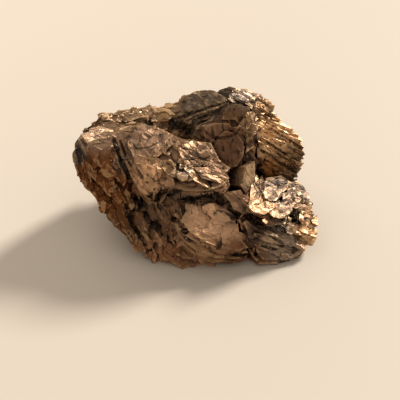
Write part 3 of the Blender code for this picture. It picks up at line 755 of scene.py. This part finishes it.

# %% [markdown]
# The larger plates catch the eye: the bright ones on the wing, the edges of the dome and the
# apron, the stripes in front, and the blades at the left. Those aren't left to chance either.
# Each is laid by itself, where the camera's frame shows its pixel, with a cleavage and a tone of
# its own.

# %% Sheets laid one by one
# u and v are the pixel; dip, facing and run are as on a patch; long and wide are in mm; thick is
# how many times as thick as its model it is; tone is how light it is, where 0.5 is as the body.
# The tone is partly the sheet's own colour and partly painted light: high on plates turned to the
# sun, as a painted highlight, and low on plates turned away, as painted shade.
Sheet = namedtuple("Sheet", "u v dip facing run long wide thick tone")
LAID = [
    # the bright plates of the wing
    Sheet(257, 208, 22, -24, 10, 11, 4.6, 2.2, 1.5),
    Sheet(268, 214, 25, -16, -5, 9, 3.6, 2, 1.4),
    Sheet(276, 208, 26, -20, 20, 7, 3.2, 2, 1.2),
    Sheet(268, 201, 18, -60, 15, 8, 3, 2, 0.3),
    Sheet(284, 203, 34, -40, 0, 7, 2.6, 2, 0.5),
    Sheet(289, 195, 14, -80, -10, 8, 3, 2, 0.1),
    Sheet(255, 196, 12, -70, 30, 7, 3, 2, 0.2),
    Sheet(300, 203, 38, -50, 0, 6, 3, 2, 0.4),
    Sheet(262, 186, 20, -60, 60, 8, 1.8, 2.4, 0.9),
    Sheet(256, 187, 26, -40, 64, 7, 1.4, 2.4, 1.2),
    Sheet(268, 187, 16, -70, 60, 8, 1.6, 2.4, 0.3),
    Sheet(280, 220, 30, -14, 0, 9, 3, 2, 2.0),
    Sheet(296, 211, 30, -60, 0, 5, 3, 2, 0.4),
    Sheet(303, 226, 36, -50, 10, 7, 5, 3, 0.6),
    Sheet(293, 229, 40, -60, 0, 6, 4, 3, 0.7),
    Sheet(308, 215, 30, -60, 30, 5, 4, 3, 0.3),
    # the bright edge of the dome
    Sheet(137, 171, 34, -100, 54, 9, 2, 2, 1.4),
    Sheet(150, 188, 40, -102, 58, 10, 1.8, 2, 1.4),
    Sheet(163, 195, 44, -96, 66, 7, 1.6, 2, 1.0),
    # the facets of the dome
    Sheet(146, 157, 24, -95, 50, 9, 4.4, 1.6, 0.0),
    Sheet(182, 174, 22, -70, 84, 9, 4.2, 2.0, 1.6),
    Sheet(150, 139, 18, -96, 40, 12, 6, 1.4, 0.6),
    Sheet(212, 174, 28, -60, -40, 12, 6, 1.6, 0.4),
    Sheet(222, 161, 30, -50, -40, 9, 5, 1.6, 0.5),
    # the bright edges of the apron
    Sheet(168, 203, 45, -88, 52, 9, 2.4, 2, 1.0),
    Sheet(180, 211, 44, -84, 52, 9, 2.6, 2, 0.9),
    Sheet(192, 219, 42, -78, 50, 9, 2.6, 2, 0.9),
    Sheet(174, 226, 46, -88, 52, 9, 2.4, 2, 0.9),
    Sheet(186, 235, 44, -80, 50, 9, 2.4, 2, 1.2),
    Sheet(200, 243, 42, -74, 49, 10, 2.4, 2, 1.4),
    Sheet(216, 248, 40, -70, 49, 10, 2.4, 2, 1.2),
    Sheet(232, 250, 40, -68, 46, 10, 2.4, 2, 1.0),
    Sheet(206, 233, 38, -70, 49, 10, 3, 2, 0.7),
    Sheet(222, 241, 38, -68, 47, 9, 3, 2, 0.7),
    Sheet(208, 214, 30, -66, 30, 9, 5, 1.6, 0.9),
    Sheet(228, 229, 32, -64, 30, 8, 5, 1.6, 0.8),
    # the stripes in front
    Sheet(264, 235, 50, -66, 47, 10, 1.5, 2.4, 0.6),
    Sheet(277, 240, 50, -66, 47, 11, 1.5, 2.4, 1.0),
    Sheet(290, 237, 50, -64, 47, 9, 1.6, 2.4, 0.9),
    Sheet(263, 245, 52, -68, 47, 10, 1.5, 2.4, 0.7),
    Sheet(281, 249, 52, -66, 47, 10, 1.6, 2.4, 0.5),
    Sheet(296, 247, 52, -60, 47, 8, 1.8, 2.4, 0.8),
    # blades at the left and long splinters below them
    Sheet(117, 150, 60, -112, 8, 9, 1.6, 2.4, 0.7),
    Sheet(122, 162, 60, -112, 8, 8, 1.4, 2.4, 0.4),
    Sheet(126, 176, 60, -110, 8, 8, 1.6, 2.4, 0.6),
    Sheet(133, 214, 62, -112, 6, 10, 2.6, 2.4, 0.6),
    Sheet(141, 232, 62, -110, 6, 9, 2.4, 2.4, 0.5),
    Sheet(150, 243, 62, -108, 6, 9, 2.6, 2.4, 0.9),
    Sheet(163, 248, 62, -106, 4, 9, 2.6, 2.4, 0.6),
    Sheet(176, 251, 60, -102, 2, 8, 3, 2.4, 0.4),
]
LAID_PROUD = 0.5 * MM  # how far the top of a sheet laid by itself stands out of the skin
JUT = 1.6 * MM  # how far any corner of it may


def lay_one(heap, model, sheet):
    """Lays one sheet where the camera's frame shows the given pixel."""
    place, normal = seen_at(sheet.u, sheet.v)
    if place is None:
        return
    turn = lie(sheet.dip, sheet.facing) @ Matrix.Rotation(math.radians(sheet.run), 3, "Z")
    size = np.array((sheet.long / 2, sheet.wide / 2, sheet.thick))
    patch = int(shares(np.array([place])).argmax())
    before = heap.count
    heap.lay(model, np.array(place), np.array(normal), turn, size, LAID_PROUD, JUT, patch)
    heap.tone[before:] = [sheet.tone] * (heap.count - before)


print(len(LAID), "sheets to be laid one by one")

# %% [markdown]
# Everything else is scattered: sheets and scales wherever the map says that the face is scaly,
# splinters where the ends of the fibres show, and crumbs last of all, in what is crushed.
# Thousands of scraps would be slow as objects of their own, so they are gathered in two meshes.

# %% Heaps
# How much of each patch is splintery; the patches that aren't named here hardly are.
SPLINTERY = {"fibrous_block": 1.0, "block_front": 0.8, "striped_front": 0.9, "left_front": 0.35,
             "lower_left": 0.3, "left_blades": 0.3, "apron_front": 0.25, "wing_back": 0.1,
             "crown_left": 0.2, "rim": 0.15, "saddle": 0.15}
HARDLY = 0.02
SHEET_SHARE, SCALE_SHARE = 0.75, 0.4  # how many of the tried places get one on a scaly patch
scrappy = np.array([p.scraps for p in PATCHES])
splintery = np.array([SPLINTERY.get(p.name, HARDLY) for p in PATCHES])
scraps = Heap("bronzite_scraps")
for number, sheet in enumerate(LAID):
    lay_one(scraps, PLATES[number % len(PLATES)], sheet)
print("sheets laid one by one:", len(scraps.points), "of", len(LAID))
lay_kind(scraps, KINDS["sheet"], SHEET_SHARE * scrappy)
lay_kind(scraps, KINDS["scale"], SCALE_SHARE * scrappy)
lay_kind(scraps, KINDS["splinter"], splintery)

# %% Crumbs
CRUMB_TRIES, CRUMB_SHARE = 5000, 0.5
CRUMB_CLEAR = 0.3  # crumbs lie nearer to the cracks than scraps do
CRUMB_LOWEST = 0.8 * MM
CRUMB_LIMIT = 1.2 * MM
crumbs = Heap("bronzite_crumbs")
spots, normals = draw(body, CRUMB_TRIES)
share = shares(spots)
chance = CRUMB_SHARE * (share * [p.crumbs for p in PATCHES]).sum(axis=1)
chance *= crack_shade(spots) < CRUMB_CLEAR
for spot, normal, row, luck in zip(spots, normals, share, chance):
    if random.random() < luck and spot[2] > CRUMB_LOWEST:
        angle = random.uniform(0, 6.3)  # radians, about a whole turn
        turn = Matrix.Rotation(angle, 3, Vector(np.random.randn(3)).normalized())
        across = random.uniform(0.35, 1.2)
        size = across * np.array((1, random.uniform(0.6, 1), random.uniform(0.5, 1)))
        model = random.choice(CRUMBS)
        proud = random.uniform(0.1, 0.5) * across * MM
        crumbs.lay(model, spot, normal, turn, size, proud, CRUMB_LIMIT, int(row.argmax()))
scrap_object, crumb_object = scraps.finish(), crumbs.finish()
pieces = [body, scrap_object, crumb_object]

# %% [markdown]
# ## What the finish needs to know
#
# The finish asks five things of each point: the stain of its patch; how shut in it is and how
# deep in a crack, which give its painted shade; whether it is a ridge, which is rubbed lighter
# and given a painted highlight; the tone of its own scrap; and where it lies along, across and
# through the fibres of its patch. They are worked out once and kept on the mesh as attributes.

# %% Attributes
def store(obj, name, values):
    """Keeps one number for each point of the mesh."""
    attribute = obj.data.attributes.new(name, "FLOAT", "POINT")
    attribute.data.foreach_set("value", np.asarray(values, dtype=np.float32))


def store_stain(obj):
    """Keeps the colour of the patch that each point lies in."""
    table = np.array([linear(p.stain) for p in PATCHES])
    colours = shares(corners(obj)) @ table
    attribute = obj.data.color_attributes.new("stain", "FLOAT_COLOR", "POINT")
    attribute.data.foreach_set("color", colours.ravel())


def store_fibres(obj, patch):
    """Keeps each point's place along, across and through the fibres of its patch, in metres."""
    where = corners(obj)
    along = np.empty_like(where)
    for i in np.unique(patch):
        turn = LIE[i] @ Matrix.Rotation(math.radians(PATCHES[i].run), 3, "Z")
        along[patch == i] = where[patch == i] @ np.array(turn)
    attribute = obj.data.attributes.new("fibres", "FLOAT_VECTOR", "POINT")
    attribute.data.foreach_set("vector", along.ravel())


def ridge(obj, rounds):
    """How far each point stands out of the smoothed skin, in mm; hollows are below 0."""
    where = corners(obj)
    ends = np.empty(len(obj.data.edges) * 2, dtype=int)
    obj.data.edges.foreach_get("vertices", ends)
    a, b = ends[0::2], ends[1::2]
    count = np.bincount(ends, minlength=len(where))[:, None]
    smooth = where.copy()
    for _ in range(rounds):
        total = np.zeros_like(smooth)
        for axis in range(3):
            total[:, axis] += np.bincount(a, smooth[b, axis], len(where))
            total[:, axis] += np.bincount(b, smooth[a, axis], len(where))
        smooth = total / np.maximum(count, 1)
    return ((where - smooth) * read(obj, "normal")).sum(axis=1) / MM


RAYS = 10
RAY_LENGTH = 4 * MM
RAY_START = 0.12  # mm off the skin, so that no ray hits the face that it starts from
RAY_LIFT = 1.1  # how strongly the rays are turned outwards


def shut_in(obj):
    """The share of the sky over each point that stone nearby takes away."""
    ways = np.random.RandomState(5).randn(RAYS, 3)
    ways /= np.linalg.norm(ways, axis=1, keepdims=True)
    result = []
    for place, out in zip(corners(obj), read(obj, "normal")):
        start = Vector(place + out * RAY_START * MM)
        hits = 0
        for way in ways:
            aim = Vector(way + out * RAY_LIFT)
            hits += tree.ray_cast(start, aim, RAY_LENGTH)[0] is not None
        result.append(hits / RAYS)
    return np.array(result)


# %% Keeping them on the pieces
ROUNDS = 4  # how often the skin is smoothed to find its ridges
# ridges are made lighter both as rubbed wear and as a painted highlight, most where the stone is
# rough
RIDGE_GAIN, LEAST_RIDGE_GAIN = 4, 0.2  # ridges are rubbed most where the stone is rough
# every point of a scrap gets this ridge value, for the same rubbed wear and painted highlight
SCRAP_RIDGE = 0.6  # scraps stand proud, so they are rubbed a little all over
MIDDLE_TONE = 0.5
# how strongly the cracks are darkened, as painted shade
CRACK_DARK = 0.8
body_share = shares(corners(body))
ridge_gain = RIDGE_GAIN * np.clip((body_share * rough).sum(axis=1), LEAST_RIDGE_GAIN, 1)
store(body, "ridge", np.clip(ridge(body, ROUNDS) * ridge_gain + 0.5, 0, 1))
store(body, "tone", np.full(len(body.data.vertices), MIDDLE_TONE))
store_fibres(body, body_share.argmax(axis=1))
for heap, piece in ((scraps, scrap_object), (crumbs, crumb_object)):
    store(piece, "ridge", np.full(heap.count, SCRAP_RIDGE))
    store(piece, "tone", heap.tone)
    store_fibres(piece, np.array(heap.patch))
# each piece gets painted shade where stone nearby shuts out the sky and deep in the cracks
for piece in pieces:
    store_stain(piece)
    shade = CRACK_DARK * crack_shade(corners(piece))
    store(piece, "painted_shade", np.maximum(shut_in(piece), shade))
print("stain, fibres, ridges and hollows are kept on", len(pieces), "pieces")

# %% [markdown]
# ## The finish: broken bronzite
#
# Bronzite is a silicate, but thin plates of iron ore inside it reflect like metal, so a fresh
# face glows golden where it mirrors the light and is plain brown where it doesn't. A shader that
# is part metal and part stone gives that. Every flake mirrors at its own tilt, fine fibres run
# along the cleavage, dark seams part the sheets, painted shade darkens the cracks and the
# hollows, and ridges are rubbed lighter and given a painted highlight.

# %% Node helper
def add(graph, kind, settings=None, links=None):
    """Adds one node: settings are its properties or unlinked sockets, links its inputs."""
    node = graph.nodes.new(kind)
    for name, value in (settings or {}).items():
        if isinstance(name, str) and hasattr(node, name):
            setattr(node, name, value)
        else:
            node.inputs[name].default_value = value
    for name, socket in (links or {}).items():
        graph.links.new(socket, node.inputs[name])
    return node


def per(*sizes_mm):
    """How a place in metres is scaled so that a pattern repeats every so many millimetres."""
    return tuple(1 / (size * MM) for size in sizes_mm)


print("a pattern of 1 mm is scaled by", per(1)[0])

# %% Broken bronzite
# the dark colour is painted shade in the hollows and cracks, and the colour of the seams
DARK_COLOUR = linear("#1a110a")
# the rubbed colour is partly wear and partly a painted highlight on the ridges
RUBBED_AND_LIT_COLOUR = linear("#d6b384")
# Sizes in mm; those of three numbers are along, across and through the fibres. The lamellae of the
# real stone are a few hundredths of a millimetre thick, too fine to show, so they are drawn ten
# times as coarse.
LAMELLA = 0.45
CLOUD, DUST = 7, 0.8
FLAKE = (2.2, 1.0, LAMELLA)
THREAD = (6, LAMELLA, LAMELLA)
SEAM = (5, 2.2, LAMELLA)
RELIEF = 0.14
METAL = 0.62
FLAKE_TILT = (0.42,) * 3


def broken_bronzite():
    """Brown stone with a bronze mirror in it: dull from most sides, golden from one."""
    material = bpy.data.materials.new("broken_bronzite")
    material.use_nodes = True
    nodes = material.node_tree
    shader = nodes.nodes["Principled BSDF"]
    place = add(nodes, "ShaderNodeTexCoord").outputs["Object"]
    kept = {name: add(nodes, "ShaderNodeAttribute", {"attribute_name": name})
            for name in ("stain", "painted_shade", "ridge", "tone", "fibres")}
    stain, fibres = kept["stain"].outputs["Color"], kept["fibres"].outputs["Vector"]
    painted_shade, edge, tone = (kept[name].outputs["Fac"] for name in ("painted_shade", "ridge", "tone"))

    clouds = add(nodes, "ShaderNodeTexNoise", {"Scale": per(CLOUD)[0], "Detail": 5.0},
                 {"Vector": place}).outputs["Fac"]
    drawn = add(nodes, "ShaderNodeVectorMath", {"operation": "MULTIPLY", 1: per(*FLAKE)},
                {0: fibres}).outputs[0]
    flakes = add(nodes, "ShaderNodeTexVoronoi", {"Scale": 1.0},
                 {"Vector": drawn}).outputs["Color"]
    drawn = add(nodes, "ShaderNodeVectorMath", {"operation": "MULTIPLY", 1: per(*THREAD)},
                {0: fibres}).outputs[0]
    threads = add(nodes, "ShaderNodeTexNoise", {"Scale": 1.0, "Detail": 3.0},
                  {"Vector": drawn}).outputs["Fac"]
    drawn = add(nodes, "ShaderNodeVectorMath", {"operation": "MULTIPLY", 1: per(*SEAM)},
                {0: fibres}).outputs[0]
    seams = add(nodes, "ShaderNodeTexNoise", {"Scale": 1.0, "Detail": 4.0},
                {"Vector": drawn}).outputs["Fac"]
    dust = add(nodes, "ShaderNodeTexNoise", {"Scale": per(DUST)[0], "Detail": 4.0},
               {"Vector": place}).outputs["Fac"]

    # the stain, made lighter and darker by clouds, flakes, threads and the tone of the scrap,
    # which on the sheets laid one by one is partly painted highlight and shade
    brightness = add(nodes, "ShaderNodeMath", {"operation": "MULTIPLY_ADD", 1: 0.9, 2: -0.1},
                     {0: clouds}).outputs[0]
    for pattern, share_of_it in ((flakes, 0.6), (threads, 0.7), (tone, 0.35)):
        brightness = add(nodes, "ShaderNodeMath", {"operation": "MULTIPLY_ADD", 1: share_of_it},
                         {0: pattern, 2: brightness}).outputs[0]
    colour = add(nodes, "ShaderNodeMix", {"data_type": "RGBA", "blend_type": "MULTIPLY", 0: 1.0},
                 {6: stain, 7: brightness}).outputs[2]

    # ridges are rubbed lighter and given a painted highlight; hollows and cracks get painted
    # shade, and seams are dark
    rubbed_and_lit = add(nodes, "ShaderNodeMapRange", {"From Min": 0.6, "From Max": 1.0, "To Max": 0.35},
               {"Value": edge}).outputs[0]
    colour = add(nodes, "ShaderNodeMix", {"data_type": "RGBA", 7: RUBBED_AND_LIT_COLOUR},
                 {0: rubbed_and_lit, 6: colour}).outputs[2]
    dark = add(nodes, "ShaderNodeMapRange", {"From Min": 0.3, "From Max": 0.8, "To Max": 0.92},
               {"Value": painted_shade}).outputs[0]
    seam = add(nodes, "ShaderNodeMapRange", {"From Min": 0.41, "From Max": 0.35, "To Max": 0.8},
               {"Value": seams}).outputs[0]
    dark = add(nodes, "ShaderNodeMath", {"operation": "MAXIMUM"}, {0: dark, 1: seam}).outputs[0]
    colour = add(nodes, "ShaderNodeMix", {"data_type": "RGBA", 7: DARK_COLOUR},
                 {0: dark, 6: colour}).outputs[2]
    nodes.links.new(colour, shader.inputs["Base Color"])

    # dust dulls the mirror
    gloss = add(nodes, "ShaderNodeMapRange", {"To Min": 0.3, "To Max": 0.62},
                {"Value": dust}).outputs[0]
    nodes.links.new(gloss, shader.inputs["Roughness"])
    shader.inputs["Metallic"].default_value = METAL

    # threads and dust stand out a little, and each flake leans its own way
    height = add(nodes, "ShaderNodeMath", {"operation": "MULTIPLY_ADD", 1: 1.0},
                 {0: threads, 2: dust}).outputs[0]
    relief = add(nodes, "ShaderNodeBump", {"Strength": 0.8, "Distance": RELIEF * MM},
                 {"Height": height}).outputs[0]
    lean = add(nodes, "ShaderNodeVectorMath", {"operation": "SUBTRACT", 1: (0.5, 0.5, 0.5)},
               {0: flakes}).outputs[0]
    lean = add(nodes, "ShaderNodeVectorMath", {"operation": "MULTIPLY_ADD", 1: FLAKE_TILT},
               {0: lean, 2: relief}).outputs[0]
    lean = add(nodes, "ShaderNodeVectorMath", {"operation": "NORMALIZE"}, {0: lean}).outputs[0]
    nodes.links.new(lean, shader.inputs["Normal"])
    return material


# %% Dressing the pieces
SMOOTH_BELOW = math.radians(24)  # edges that bend more than this stay sharp
finish = broken_bronzite()
for piece in pieces:
    piece.data.materials.append(finish)
    take_alone(piece)
    bpy.ops.object.shade_smooth_by_angle(angle=SMOOTH_BELOW)
    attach(piece, "root")
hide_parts(NODE)
print(len(pieces), "pieces finished in", finish.name, "with", len(finish.node_tree.nodes), "nodes")
